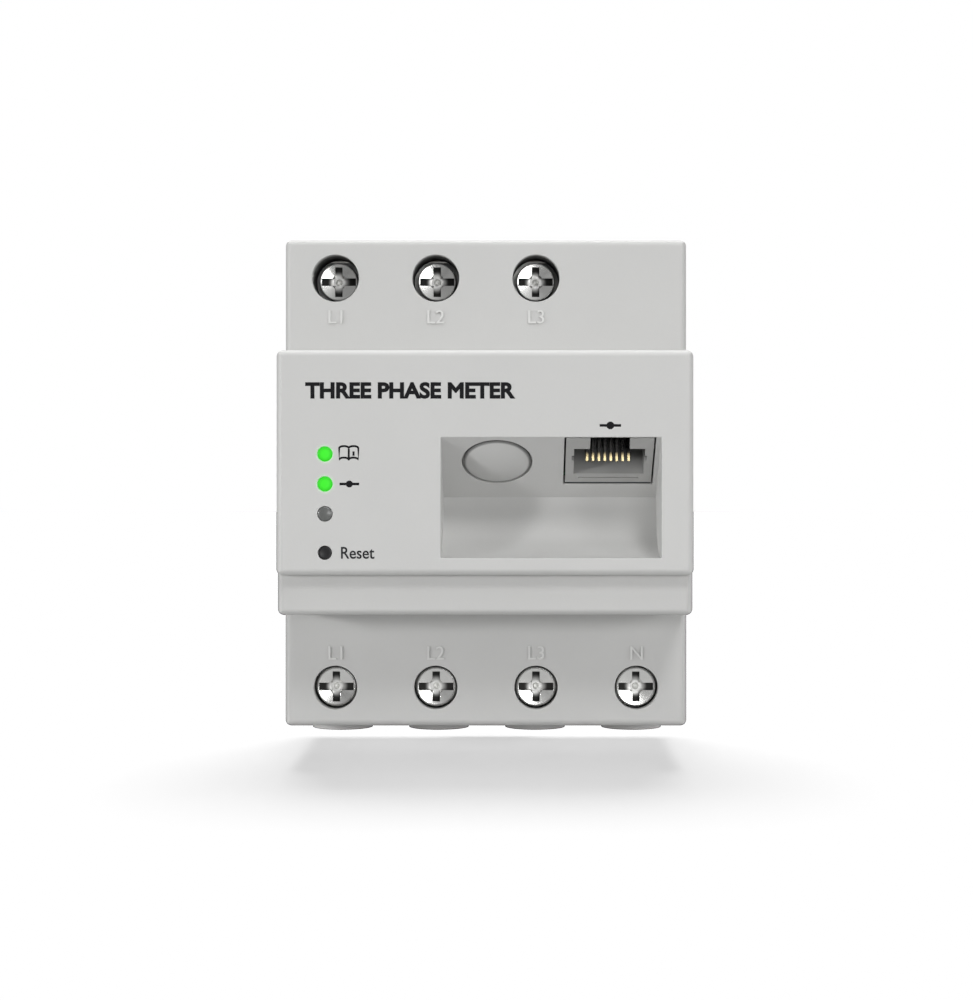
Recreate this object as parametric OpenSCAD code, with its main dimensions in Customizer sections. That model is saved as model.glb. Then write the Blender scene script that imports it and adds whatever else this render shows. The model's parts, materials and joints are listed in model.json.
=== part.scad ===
// Three-phase electricity meter for a 35 mm rail.
// +X right, the front faces -Y, +Z up. The origin is the middle of the seat on the rail's front face.
// Depths are counted forward from the seat, so a depth d lies at Y = -d.

/* [Housing] */
// Width of the housing, four poles wide
body_w = 70; // [68:0.5:90]
// Height of the housing
body_h = 84.8; // [80:0.2:110]
// Depth of the shoulders that carry the terminal screws
shoulder_d = 44; // [43:0.5:54]
// Depth of the band below the face plate
band_d = 56.6; // [56.6:0.2:70]
// Height of the raised nose
nose_h = 44.6; // [40:0.2:50]
// Height of the band that the face plate leaves free at the foot of the nose
band_h = 6.8; // [4:0.2:8]
// Wall thickness of the mouldings
wall = 1.8; // [1.2:0.1:2.4]
// Depth of the parting line between the rear base and the front housing
split_d = 10; // [6:0.5:12]
// How far the feet reach behind the rail's front face
foot_d = 6; // [4:0.5:7]
// Radius of the outer edges
edge_r = 1.2; // [0.4:0.1:1.5]

/* [Face plate] */
// Thickness of the face plate
plate_t = 2.3; // [1.6:0.1:3]
// Left edge of the recess
recess_x0 = -7.4; // [-10:0.1:0]
// Width of the recess
recess_w = 37; // [34:0.5:40]
// Upper edge of the recess
recess_top = 7.7; // [4:0.1:9]
// Height of the recess
recess_h = 20.25; // [18:0.25:21]
// Height of the sloping panel inside the recess
slope_drop = 10.15; // [9:0.05:11]
// Depth of the recess
recess_depth = 13.5; // [12:0.1:14]
// Wall thickness of the recess
recess_wall = 1.6; // [1.2:0.1:2]
// Thickness of the sloping panel
slope_t = 2; // [1.6:0.1:2.4]

/* [Indicators and button] */
// Distance of the indicators and the button from the middle, to the left
lamp_x = 26.8; // [22:0.1:30]
// Height of the upper indicator
lamp_top = 4.85; // [2:0.05:8]
// Distance from one indicator to the next
lamp_pitch = 5.02; // [4:0.02:6]
// Diameter of the light guides
lamp_dia = 2.4; // [2:0.1:3]
// How far the light guides stand proud of the plate
lamp_proud = 0.1; // [0.05:0.05:0.3]
// Height of the reset button below the middle
button_drop = 11.7; // [9:0.1:13]
// Diameter of the reset button
button_dia = 2.2; // [1.8:0.1:3]
// Travel of the reset button
button_travel = 0.5; // [0.3:0.1:0.8]

/* [Ports] */
// Middle of the blanking plug
plug_x = 2; // [1:0.1:4]
// Diameter of the blanking plug
plug_dia = 11.4; // [10:0.1:12]
// Middle of the network socket
jack_x = 21.05; // [19.5:0.05:21.2]
// Width of the network socket's face
jack_w = 14.8; // [14.4:0.1:15.2]
// Height of the network socket's face along the slope
jack_h = 12.5; // [12:0.1:13]
// Depth of the network socket
jack_d = 15; // [13:0.5:16]

/* [Terminals] */
// Distance from one pole to the next
pole_pitch = 17.5; // [16:0.1:18]
// Distance of the terminal screws from the housing's upper and lower faces
screw_inset = 6.7; // [6:0.1:8]
// Diameter of the screw heads
head_dia = 6.9; // [6.5:0.1:7.4]
// Thickness of the screw heads
head_t = 2.5; // [2:0.1:3]
// Diameter of the screw thread
thread_dia = 5; // [4:0.1:5.5]
// Travel of the pads from open to clamped
clamp_travel = 5; // [4:0.1:5]
// Depth of the lower screw heads behind the shoulder
low_head_sink = 2; // [1:0.1:3]
// Depth of the upper screw heads behind the shoulder
high_head_sink = 7.5; // [6:0.1:8]
// Diameter of the lower driver holes
low_hole_dia = 7.6; // [7.5:0.05:9]
// Diameter of the upper driver holes
high_hole_dia = 8.2; // [7.6:0.05:9]
// Width of a clamp cage
cage_w = 10; // [9:0.1:12]
// Length of a clamp cage along the wire
cage_l = 8.4; // [7:0.1:8.4]
// Thickness of the cage wall that the screw runs in
thread_wall = 3; // [2:0.1:4]
// Thickness of the cage's side walls
cage_side = 1.2; // [0.8:0.1:1.6]
// Thickness of the cage's rear wall
cage_floor = 1.8; // [1:0.1:2.2]
// Clear height that an open clamp leaves for the wire
wire_gap = 6.8; // [5:0.1:8]
// Thickness of the pressure pads
pad_t = 1.2; // [0.8:0.1:1.6]
// Thickness of the busbars
bar_t = 1.5; // [1:0.1:2]
// Width of the busbars
bar_w = 7; // [5:0.1:7.2]
// Radius of the wire entries
wire_r = 4; // [3:0.1:4.5]
// Outer radius of the wire entry collars
collar_r = 5.4; // [5:0.1:6]
// How far the lower collars stand out of the housing
low_collar_out = 2; // [1:0.1:3]
// How far the upper collars stand out of the housing
high_collar_out = 1.6; // [1:0.1:3]

/* [Rail fixing] */
// Width of the rail
rail_w = 35; // [35:0.5:35]
// Thickness of the rail's flanges
rail_t = 1; // [1:0.1:1.5]
// How far the hooks reach behind a flange
hook_reach = 2; // [1.5:0.1:3]
// Travel of the rail latch
latch_travel = 4; // [3:0.5:5]
// Width of the rail latch
latch_w = 21.4; // [16:0.2:26]
// How far the latch's pull tab stands out below the housing
latch_tab = 3.1; // [2:0.1:5]

/* [Fits] */
// Gap between pieces that are joined
joint_gap = 0.15; // [0.1:0.05:0.3]
// Gap round pieces that slide
slide_gap = 0.3; // [0.2:0.05:0.4]
// Radial gap of the screw threads
thread_gap = 0.06; // [0.03:0.01:0.1]
// Radial gap of the light guides and the button
guide_gap = 0.08; // [0.05:0.01:0.1]

/* [Hidden] */
$fn = 48;
cut = 1;
phases = ["l1", "l2", "l3"];

// Outer planes
half_w = body_w / 2;
half_h = body_h / 2;
half_nose = nose_h / 2;
plate_gap = 0.1;
plate_d = band_d + plate_gap + plate_t;
plate_z0 = -half_nose + band_h;
inner_w = half_w - wall;
inner_h = half_h - wall;
inner_d = shoulder_d - wall;
nose_in = half_nose - wall;
plate_seat_w = inner_w - 1.2;

// Rail fixing
hook_gap = 0.25;
rail_edge = rail_w / 2 + hook_gap;
hook_y = rail_t + hook_gap;
hook_t = 2.6;
hook_tip = rail_edge - hook_reach;
latch_hook_z = -(rail_w / 2 - hook_reach + 0.1);
foot_low = rail_edge + latch_travel + 0.15;
channel_y0 = hook_y - slide_gap;
latch_wide_t = 2.5;
latch_wing = 2.5;
latch_bottom = -half_h - latch_tab;
window_w = 4.6;
window_top = -half_h + 18.4;
window_low = window_top - 14.5;
peg_top = window_low + 2.5;
spring_mid_y = hook_y + latch_wide_t / 2;
spring_r = 1;
spring_wire = 0.5;

// Terminals: the row's screw heads, cages and wires, as depths
function row_z(top) = (top ? 1 : -1) * (half_h - screw_inset);
function head_front(top) = shoulder_d - (top ? high_head_sink : low_head_sink);
function cage_front(top) = head_front(top) - head_t - clamp_travel - 0.3;
function pad_front(top) = cage_front(top) - thread_wall - 0.3;
function bar_front(top) = pad_front(top) - pad_t - wire_gap;
function cage_back(top) = bar_front(top) - bar_t - cage_floor;
function wire_d(top) = (pad_front(top) - pad_t + bar_front(top)) / 2 + 0.5;
function collar_out(top) = top ? high_collar_out : low_collar_out;
function hole_dia(top) = top ? high_hole_dia : low_hole_dia;
function chimney_back(top) = head_front(top) - chimney_l;
function pole_x(i) = (i - 1.5) * pole_pitch;
top_poles = [0, 1, 2];
bottom_poles = [0, 1, 2, 3];
shelf_t = 1.5;
shelf_gap = 0.2;
block_front_margin = 0.8;
block_end_t = 2;
rib_t = 1.2;
cage_z0 = half_h - screw_inset - cage_l / 2;
block_z0 = cage_z0 - 0.4;
chimney_wall = 1.2;
chimney_l = 2.8;
cage_in = cage_w - 2 * cage_side;
pad_w = cage_in - 0.4;
pad_l = cage_l - 0.4;
slot_w = 1.3;
slot_d = 1.2;
slot_l = 0.88 * head_dia;
cross_l = 0.76 * head_dia;
head_chamfer = 0.2;
pit_dia = 2.6;
pit_depth = 2.2;
function shank_end(top) = head_front(top) - pad_front(top) - 0.05;

// Recess
recess_x1 = recess_x0 + recess_w;
recess_low = recess_top - recess_h;
recess_back = plate_d - recess_depth;
scoop_r = recess_h - slope_drop;
valley_z = recess_top - slope_drop;
slope_angle = atan2(recess_depth, slope_drop);
slope_len = norm([recess_depth, slope_drop]);
plug_along = 0.41 * slope_len;
plug_seat = 0.9;
plug_lip = 1.2;
plug_rise = 0.6;
plug_dome_r = (pow(plug_dia / 2, 2) + plug_rise * plug_rise) / (2 * plug_rise);
jack_top = 0.4;
jack_gap = 0.3;
jack_mouth_w = 12;
jack_mouth_h = 6.9;
jack_mouth_top = 3.3;
jack_mouth_low = -jack_mouth_top - jack_mouth_h;
jack_notch_w = 6.7;
jack_notch_d = 9;
jack_side_w = 12.8;
jack_side_h = 1.3;
jack_cavity_d = 12.6;
jack_groove_w = 10.4;
contact_pitch = 1.02;
contact_w = 0.4;
contact_front = 3;
contact_back = 9;
contact_rise = 3.8;

// Boards and what stands on them
board_t = 1.6;
board_margin = 1.2;
board_z = cage_z0 - 2.1;
board_x = inner_w - board_margin;
measure_front = 7.6;
logic_front = 33;
indicator_front = plate_d - 6.4;
indicator_x0 = -inner_w + 0.6;
indicator_x1 = recess_x0 - recess_wall - 0.6;
ct_dia = min(pole_pitch - 1.5, 2 * (inner_w - pole_x(3)) - 0.3);
ct_hole = 8.6;
ct_l = 8;
ct_mid_d = bar_front(true) - bar_t / 2;
boss_x = pole_pitch;
boss_z = rail_edge + 6.4;
boss_r = 2.9;
screw_r = 1.5;
screw_hole_r = 1.65;
screw_head_r = 2.8;
screw_head_t = 2;
boss_back = 2.2;
screw_bite = 12;
clear_r = boss_r + 0.6;
chip_t = 1.6;
lead_out = 0.8;
supply_size = [13, 13, 14];
supply_x = inner_w - 2.05 - supply_size.x / 2;
supply_z = 2;
cap_r = 4;
cap_l = 12;
cap_x = inner_w - 0.25 - cap_r;
cap_z = -9;
varistor_r = 3.8;
varistor_t = 3;
varistor_z = -17;
header_half_w = (pole_pitch - bar_w) / 2 - 0.45;
header_z = 20;
header_h = 2.4;

// Depth behind the sloping panel at which the network board starts and ends
net_y0 = slope_t + 0.4;
net_y1 = jack_d + 4;
net_z = -jack_top - jack_h - 0.2;

// Reset switch behind its button
switch_w = 4.5;
switch_t = 2;
stem_r = 1;
stem_l = 1.2;
stem_front = indicator_front + switch_t + button_travel;

// ---- helpers ----

// Extrudes a (Y, Z) outline along X
module along_x(x0, x1) {
    translate([x0, 0, 0]) rotate([90, 0, 90]) linear_extrude(x1 - x0) children();
}

// Extrudes an (X, Z) outline along Y
module along_y(y0, y1) {
    translate([0, y1, 0]) rotate([90, 0, 0]) linear_extrude(y1 - y0) children();
}

// A box between two corners
module block(lo, hi) {
    translate(lo) cube(hi - lo);
}

// A round bar along Y between two places
module round_y(x, z, y0, y1, r) {
    translate([x, y0, z]) rotate([-90, 0, 0]) cylinder(r = r, h = y1 - y0);
}

// A rectangle with round corners
module round_rect(lo, hi, r) {
    translate([lo.x + r, lo.y]) square([hi.x - lo.x - 2 * r, hi.y - lo.y]);
    translate([lo.x, lo.y + r]) square([hi.x - lo.x, hi.y - lo.y - 2 * r]);
    for (x = [lo.x + r, hi.x - r], y = [lo.y + r, hi.y - r]) translate([x, y]) circle(r);
}

// A box with all its edges rounded
module soft_box(lo, hi, r) {
    intersection() {
        along_x(lo.x, hi.x) round_rect([lo.y, lo.z], [hi.y, hi.z], r);
        along_y(lo.y, hi.y) round_rect([lo.x, lo.z], [hi.x, hi.z], r);
        translate([0, 0, lo.z]) linear_extrude(hi.z - lo.z) round_rect([lo.x, lo.y], [hi.x, hi.y], r);
    }
}

// Places children on the sloping panel: x along X, y behind the panel, z up along the slope from its top
module on_slope() {
    translate([0, -plate_d, recess_top]) rotate([slope_angle, 0, 0]) children();
}

// The four housing screws' places
module at_bosses() {
    for (x = [-boss_x, boss_x], z = [-boss_z, boss_z]) translate([x, 0, z]) children();
}

// ---- mouldings ----

module housing_shell() {
    intersection() {
        soft_box([-half_w, -shoulder_d, -half_h], [half_w, foot_d, half_h], edge_r);
        block([-half_w, -shoulder_d, -half_h], [half_w, -split_d, half_h]);
    }
    intersection() {
        soft_box([-half_w, -band_d, -half_nose], [half_w, 0, half_nose], edge_r);
        block([-half_w, -band_d, -half_nose], [half_w, -inner_d, half_nose]);
    }
}

// The driver holes of one row, as tubes or as what is cut from them
module driver_holes(top, poles, grow, back) {
    y0 = -shoulder_d + (grow > 0 ? 0.4 : -cut);
    for (i = poles) round_y(pole_x(i), row_z(top), y0, -back, hole_dia(top) / 2 + grow);
}

module front_housing() {
    color("gainsboro")
    difference() {
        union() {
            difference() {
                housing_shell();
                block([-inner_w, -inner_d, -inner_h], [inner_w, -split_d + cut, inner_h]);
                block([-inner_w, -band_d + wall, -nose_in], [inner_w, -inner_d + cut, nose_in]);
                block([-plate_seat_w, -band_d - cut, plate_z0 + 1.1], [plate_seat_w, -inner_d, nose_in]);
            }
            driver_holes(true, top_poles, chimney_wall, chimney_back(true));
            driver_holes(false, bottom_poles, chimney_wall, chimney_back(false));
            at_bosses() round_y(0, 0, -inner_d - 0.2, -boss_back, boss_r);
        }
        driver_holes(true, top_poles, 0, chimney_back(true) - cut);
        driver_holes(false, bottom_poles, 0, chimney_back(false) - cut);
        at_bosses() round_y(0, 0, -boss_back - screw_bite - 2, -boss_back + cut, screw_r + 0.05);
        block_window(true);
        block_window(false);
    }
}

// The opening in the upper or lower face that a terminal block fills
module block_window(top) {
    s = top ? 1 : -1;
    x1 = block_x1(top) + joint_gap;
    z = [s * (inner_h - cut), s * (half_h + cut)];
    block(
        [-inner_w - joint_gap + 1, -block_y0(top) - joint_gap, min(z)],
        [x1, -block_y1(top) + joint_gap, max(z)]
    );
}

function block_x1(top) = top ? pole_x(2) + pole_pitch / 2 : inner_w - 1;
function block_y0(top) = cage_front(top) + block_front_margin;
function block_y1(top) = cage_back(top) - shelf_gap - shelf_t;

// A tray that holds one row's cages, with the wire entries in its end
module terminal_block(top, poles) {
    s = top ? 1 : -1;
    x0 = -inner_w + 1;
    x1 = block_x1(top);
    y0 = -block_y0(top);
    y1 = -block_y1(top);
    mirror([0, 0, top ? 0 : 1])
    difference() {
        union() {
            block([x0, y0, inner_h + 0.05], [x1, y1, half_h]);
            block([x0 + 0.4, y0 + 0.4, inner_h - 0.25], [x1 - 0.4, y1 - 0.4, inner_h + 0.1]);
            block([x0 + 0.4, y1 - shelf_t, block_z0], [x1 - 0.4, y1, inner_h]);
            for (i = poles) {
                if (i > 0) rib(pole_x(i) - pole_pitch / 2, y0 + 0.4, y1 - 0.4);
                translate([pole_x(i), -wire_d(top), inner_h])
                    cylinder(r = collar_r, h = half_h - inner_h + collar_out(top));
            }
            if (top) rib(x1 - 0.4 - rib_t / 2, y0 + 0.4, y1 - 0.4);
        }
        for (i = poles)
            translate([pole_x(i), -wire_d(top), inner_h - cut])
                cylinder(r = wire_r, h = half_h - inner_h + collar_out(top) + 2 * cut);
    }
}

module rib(x, y0, y1) {
    block([x - rib_t / 2, y0, block_z0], [x + rib_t / 2, y1, inner_h]);
}

module top_terminal_block() { color("lightgrey") terminal_block(true, top_poles); }
module bottom_terminal_block() { color("lightgrey") terminal_block(false, bottom_poles); }

module rear_base() {
    color("gainsboro")
    difference() {
        union() {
            difference() {
                intersection() {
                    soft_box([-half_w, -shoulder_d, -half_h], [half_w, foot_d, half_h], edge_r);
                    block([-half_w, -split_d + plate_gap, -half_h], [half_w, foot_d, half_h]);
                }
                block([-inner_w, -split_d - cut, -inner_h], [inner_w, -wall, inner_h]);
                block([-half_w - cut, 0, -foot_low], [half_w + cut, foot_d + cut, rail_edge]);
            }
            hooks();
        }
        latch_channel();
        foot_panels();
        at_bosses() {
            round_y(0, 0, -boss_back + 0.1 - cut, foot_d + cut, screw_hole_r);
            round_y(0, 0, 1.5, foot_d + cut, screw_head_r + 0.25);
        }
    }
    color("gainsboro") spring_peg();
}

// Fixed hooks that go behind the rail's upper flange
module hooks() {
    for (s = [-1, 1])
        along_x(s * half_w / 2 - 12, s * half_w / 2 + 12)
            polygon([
                [hook_y, rail_edge + 0.5],
                [hook_y, hook_tip],
                [hook_y + 0.8, hook_tip - 0.2],
                [hook_y + hook_t, rail_edge],
                [hook_y + hook_t, rail_edge + 0.5]
            ]);
}

// Shallow panels that lighten the feet
module foot_panels() {
    for (x = [-1, 1]) {
        block([x * 14 - 6, foot_d - 0.8, rail_edge + 12], [x * 14 + 6, foot_d + cut, half_h - 3]);
        block([x * 20 - 5, foot_d - 0.8, -half_h + 3], [x * 20 + 5, foot_d + cut, -foot_low - 9]);
    }
}

// Space that the latch slides in: wide at the bottom, narrow at the rear
module latch_channel() {
    w = latch_w / 2 + slide_gap;
    block([-w, channel_y0, -half_h - cut], [w, hook_y + latch_wide_t + slide_gap, -foot_low + cut]);
    w2 = w - latch_wing;
    block([-w2, channel_y0, -half_h - cut], [w2, foot_d + cut, -foot_low + cut]);
}

// Peg in the latch's window that the spring rests on
module spring_peg() {
    block([-1.5, channel_y0 - 0.2, window_low + 0.4], [1.5, hook_y + latch_wide_t, peg_top]);
}

module rail_latch() {
    w = latch_w / 2;
    y1 = hook_y + latch_wide_t;
    color("orangered")
    difference() {
        union() {
            block([-w, hook_y, latch_bottom + 4], [w, y1, -foot_low + 1]);
            block([-w + latch_wing, hook_y, latch_bottom], [w - latch_wing, foot_d - 0.3, -foot_low]);
            along_x(-w, w)
                polygon([
                    [hook_y, -foot_low],
                    [hook_y, latch_hook_z],
                    [hook_y + 0.8, latch_hook_z + 0.2],
                    [y1, latch_hook_z - hook_reach],
                    [y1, -foot_low]
                ]);
        }
        block([-window_w / 2, 0, window_low], [window_w / 2, foot_d + cut, window_top]);
        block([-3, hook_y + 1, latch_bottom + 1.3], [3, foot_d + cut, latch_bottom + 2.8]);
    }
}

// A coil of round wire from z0 to z1
module coil(r, wire, turns, z0, z1) {
    sides = 8;
    steps = turns * 16;
    rise = z1 - z0 - wire;
    ring = [for (i = [0:steps], j = [0:sides - 1])
        let (a = 360 * i / 16, b = 360 * j / sides, q = r + wire / 2 * cos(b))
        [q * cos(a), q * sin(a), z0 + wire / 2 + rise * i / steps + wire / 2 * sin(b)]];
    skin = [for (i = [0:steps - 1], j = [0:sides - 1])
        let (k = (j + 1) % sides)
        [i * sides + j, i * sides + k, (i + 1) * sides + k, (i + 1) * sides + j]];
    polyhedron(
        ring,
        concat(skin, [[for (j = [sides - 1:-1:0]) j]], [[for (j = [0:sides - 1]) steps * sides + j]])
    );
}

module latch_spring() {
    color("silver")
    translate([0, spring_mid_y, 0]) coil(spring_r, spring_wire, 6, peg_top, window_top);
}

// ---- face plate and what sits in it ----

// The hollow of the recess as an outline, or its outer wall
module recess_outline(grow, floor_grow) {
    lip = plate_d - plate_t + (grow > 0 ? 0.2 : cut + plate_t);
    mid = recess_back + scoop_r;
    intersection() {
        union() {
            translate([-mid, valley_z]) circle(scoop_r + floor_grow, $fn = 96);
            translate([-plate_d - cut, valley_z - scoop_r - floor_grow])
                square([plate_d - mid + cut, scoop_r + floor_grow]);
        }
        translate([-lip, valley_z - 20]) square([lip, 20]);
    }
    back = recess_back - floor_grow;
    top_z = recess_top + grow / sin(slope_angle);
    polygon([
        [-lip, valley_z],
        [-lip, top_z + (lip - plate_d) / tan(slope_angle)],
        [-back, top_z - (plate_d - back) / tan(slope_angle)],
        [-back, valley_z]
    ]);
}

module face_plate() {
    color("whitesmoke")
    difference() {
        union() {
            intersection() {
                soft_box([-half_w, -plate_d, plate_z0], [half_w, plate_t - plate_d + 4, half_nose], edge_r);
                block([-half_w, -plate_d, plate_z0], [half_w, plate_t - plate_d, half_nose]);
            }
            along_x(recess_x0 - recess_wall, recess_x1 + recess_wall) recess_outline(slope_t, recess_wall);
        }
        along_x(recess_x0, recess_x1) recess_outline(0, 0);
        on_slope() {
            translate([plug_x, -cut, -plug_along]) rotate([-90, 0, 0]) {
                cylinder(d = plug_dia + 2 * slide_gap, h = plug_seat + cut);
                cylinder(d = plug_dia - 2 * plug_lip + 2 * joint_gap, h = slope_t + 2 * cut);
            }
            block(
                [jack_x - jack_w / 2 - jack_gap, -cut, -jack_top - jack_h - jack_gap],
                [jack_x + jack_w / 2 + jack_gap, slope_t + 8, -jack_top / 2]
            );
        }
        for (i = [0:2]) lamp(i, lamp_dia / 2 + guide_gap, plate_d + cut, plate_d - plate_t - cut);
        at_button(plate_d + cut, plate_d - plate_t - cut, button_dia / 2 + guide_gap);
    }
}

// A round bar at one indicator's place, between two depths
module lamp(i, r, from, to) {
    round_y(-lamp_x, lamp_top - i * lamp_pitch, -from, -to, r);
}

// The same at the reset button
module at_button(from, to, r) {
    round_y(-lamp_x, -button_drop, -from, -to, r);
}

module light_guide(i) {
    color("lightgreen")
    union() {
        lamp(i, lamp_dia / 2, plate_d + lamp_proud, indicator_front + 1.2);
        lamp(i, lamp_dia / 2 + 0.5, plate_d - plate_t - 0.1, plate_d - plate_t - 0.8);
    }
}

module status_leds() {
    color("white")
    for (i = [0:2])
        block(
            [-lamp_x - 0.8, -indicator_front - 1, lamp_top - i * lamp_pitch - 0.6],
            [-lamp_x + 0.8, -indicator_front - 0.02, lamp_top - i * lamp_pitch + 0.6]
        );
}

module reset_button() {
    color("dimgray")
    union() {
        at_button(plate_d - 0.1, stem_front + 0.05, button_dia / 2);
        at_button(plate_d - plate_t - 0.2, plate_d - plate_t - 1, button_dia / 2 + 0.7);
    }
}

module switch_stem() {
    color("black") at_button(stem_front, stem_front - stem_l, stem_r);
}

module reset_switch() {
    front = indicator_front + switch_t;
    half = switch_w / 2;
    color("silver")
    difference() {
        translate([-lamp_x, 0, -button_drop])
            block([-half, -front, -half], [half, -indicator_front - 0.02, half]);
        at_button(front + cut, indicator_front + 0.2, stem_r + 0.1);
    }
}

module port_blanking_plug() {
    color("gainsboro")
    on_slope() translate([plug_x, 0, -plug_along]) {
        rotate([-90, 0, 0]) {
            cylinder(d = plug_dia - 2 * plug_lip, h = slope_t + 1.2);
            cylinder(d = plug_dia, h = plug_seat - 0.05);
            translate([0, 0, slope_t + 0.2]) cylinder(d = plug_dia - 1.3 * plug_lip, h = 1);
        }
        intersection() {
            translate([0, plug_dome_r - plug_rise, 0]) sphere(plug_dome_r, $fn = 96);
            rotate([90, 0, 0]) translate([0, 0, -0.1]) cylinder(d = plug_dia, h = plug_rise + 1);
        }
    }
}

module network_jack() {
    w = jack_mouth_w / 2;
    side = jack_side_w / 2;
    notch = jack_notch_w / 2;
    side_top = -jack_mouth_top - 1.9;
    low = jack_mouth_low;
    color("darkgrey")
    on_slope() translate([jack_x, 0, 0])
    difference() {
        block([-jack_w / 2, 0, -jack_top - jack_h], [jack_w / 2, jack_d, -jack_top]);
        block([-w, -cut, low], [w, jack_cavity_d, -jack_mouth_top]);
        block([-notch, -cut, -jack_mouth_top - 0.1], [notch, jack_notch_d, cut]);
        block([-side, -cut, side_top - jack_side_h], [side, jack_cavity_d, side_top]);
        block([-jack_groove_w / 2, -cut, low - 1.3], [jack_groove_w / 2, 0.4, low - 1]);
        for (i = [0:7]) contact_slot((i - 3.5) * contact_pitch);
    }
}

// Slot in the socket's floor for one contact
module contact_slot(x) {
    half = contact_w / 2 + 0.06;
    low = jack_mouth_low;
    block([x - half, contact_front - 0.3, low - 1.2], [x + half, jack_d + cut, low + 0.1]);
}

// Eight sprung wires, bent back over themselves at the mouth
module jack_contacts() {
    low = jack_mouth_low;
    color("gold")
    on_slope()
    for (i = [0:7])
        translate([jack_x + (i - 3.5) * contact_pitch, 0, 0])
            along_x(-contact_w / 2, contact_w / 2)
                polygon([
                    [jack_d + 0.6, low - 1],
                    [jack_d + 0.6, low - 0.6],
                    [contact_front + 1.4, low - 0.6],
                    [contact_back + 0.2, low + contact_rise - 0.3],
                    [contact_back, low + contact_rise],
                    [contact_front, low - 0.3],
                    [contact_front, low - 1]
                ]);
}

// ---- terminals ----

module terminal_screw(top, i) {
    color("silver")
    translate([pole_x(i), -head_front(top), row_z(top)]) rotate([-90, 0, 0])
    difference() {
        union() {
            cylinder(d1 = head_dia - 2 * head_chamfer, d2 = head_dia, h = head_chamfer);
            translate([0, 0, head_chamfer]) cylinder(d = head_dia, h = head_t - head_chamfer);
            translate([0, 0, head_chamfer]) cylinder(d = thread_dia, h = shank_end(top) - head_chamfer);
        }
        translate([0, 0, -cut]) cylinder(d1 = pit_dia * (1 + cut / pit_depth), d2 = 0, h = pit_depth + cut);
        translate([-slot_l / 2, -slot_w / 2, -cut]) cube([slot_l, slot_w, slot_d + cut]);
        translate([-slot_w / 2, -cross_l / 2, -cut]) cube([slot_w, cross_l, slot_d + cut]);
    }
}

module clamp_cage(top, i) {
    y0 = -cage_front(top);
    y1 = -cage_back(top);
    w = cage_w / 2;
    l = cage_l / 2;
    color("lightsteelblue")
    translate([pole_x(i), 0, row_z(top)])
    difference() {
        block([-w, y0, -l], [w, y1, l]);
        block([-cage_in / 2, y0 + thread_wall, -l - cut], [cage_in / 2, y1 - cage_floor, l + cut]);
        round_y(0, 0, y0 - cut, y0 + thread_wall + cut, thread_dia / 2 + thread_gap);
    }
}

module clamp_pad(top, i) {
    color("slategray")
    translate([pole_x(i), -pad_front(top), row_z(top)])
        block([-pad_w / 2, 0, -pad_l / 2], [pad_w / 2, pad_t, pad_l / 2]);
}

// A phase bar: straight from the upper cage, stepped forward into the lower one
module busbar(i) {
    a = -bar_front(true);
    b = -bar_front(false);
    end_z = half_h - screw_inset + cage_l / 2 - 0.3;
    step_z = -board_z + 1.5;
    gap = 0.05;
    color("peru")
    along_x(pole_x(i) - bar_w / 2, pole_x(i) + bar_w / 2)
        polygon([
            [a, end_z], [a, step_z + bar_t], [b, step_z + bar_t], [b, -end_z], [b + bar_t - gap, -end_z],
            [b + bar_t - gap, step_z], [a + bar_t - gap, step_z], [a + bar_t - gap, end_z]
        ]);
}

module neutral_bar() {
    b = -bar_front(false);
    end_z = half_h - screw_inset + cage_l / 2 - 0.3;
    step_z = -board_z + 1.5;
    color("peru")
    along_x(pole_x(3) - bar_w / 2, pole_x(3) + bar_w / 2)
        polygon([
            [b, -end_z], [b, step_z + bar_t], [-measure_front - 0.05, step_z + bar_t],
            [-measure_front - 0.05, step_z], [b + bar_t - 0.05, step_z], [b + bar_t - 0.05, -end_z]
        ]);
}

module current_transformer(i) {
    color("royalblue")
    translate([pole_x(i), -ct_mid_d, 0])
    difference() {
        cylinder(d = ct_dia, h = ct_l, center = true);
        cylinder(d = ct_hole, h = ct_l + 2 * cut, center = true);
    }
}

// ---- boards ----

module board(front, x0, x1, z0, z1) {
    color("seagreen")
    difference() {
        block([x0, -front, z0], [x1, -front + board_t, z1]);
        at_bosses() round_y(0, 0, -front - cut, -front + board_t + cut, clear_r);
    }
}

module measuring_board() { board(measure_front, -board_x, board_x, -board_z, board_z); }
module logic_board() { board(logic_front, -board_x, board_x, -board_z, board_z); }
module indicator_board() {
    board(indicator_front, indicator_x0, indicator_x1, -half_nose + wall + 1.2, half_nose - wall - 1.2);
}

module network_board() {
    color("seagreen")
    on_slope() block([jack_x - 10, net_y0, net_z - board_t], [jack_x + 9.4, net_y1, net_z]);
}

module network_transformer() {
    color("black")
    on_slope() block([jack_x - 6, jack_d + 0.8, net_z + 0.02], [jack_x + 6, net_y1 - 0.2, net_z + 5]);
}

// A flat chip with its leads as one strip that stands out on two sides
module chip(x, z, front, w) {
    h = w / 2;
    l = h + lead_out;
    color("black") block([x - h, -front - chip_t, z - h], [x + h, -front - 0.25, z + h]);
    color("silver") block([x - l, -front - 0.6, z - h + 0.4], [x + l, -front - 0.02, z + h - 0.4]);
}

module metering_chip() { chip(-pole_pitch / 2, 16, measure_front, 7); }
module processor_chip() { chip(-pole_pitch, -12, logic_front, 9); }

// A bobbin: a wound core between two flanges
module supply_transformer() {
    y = -measure_front;
    w = supply_size.x / 2;
    h = supply_size.z;
    translate([supply_x, 0, supply_z])
    color("goldenrod")
    union() {
        block([-w, y - supply_size.y, 0], [w, y - 0.02, 3]);
        block([-w, y - supply_size.y, h - 3], [w, y - 0.02, h]);
        block([1.5 - w, y - supply_size.y + 1, 2], [w - 1.5, y - 1, h - 2]);
    }
}

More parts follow.
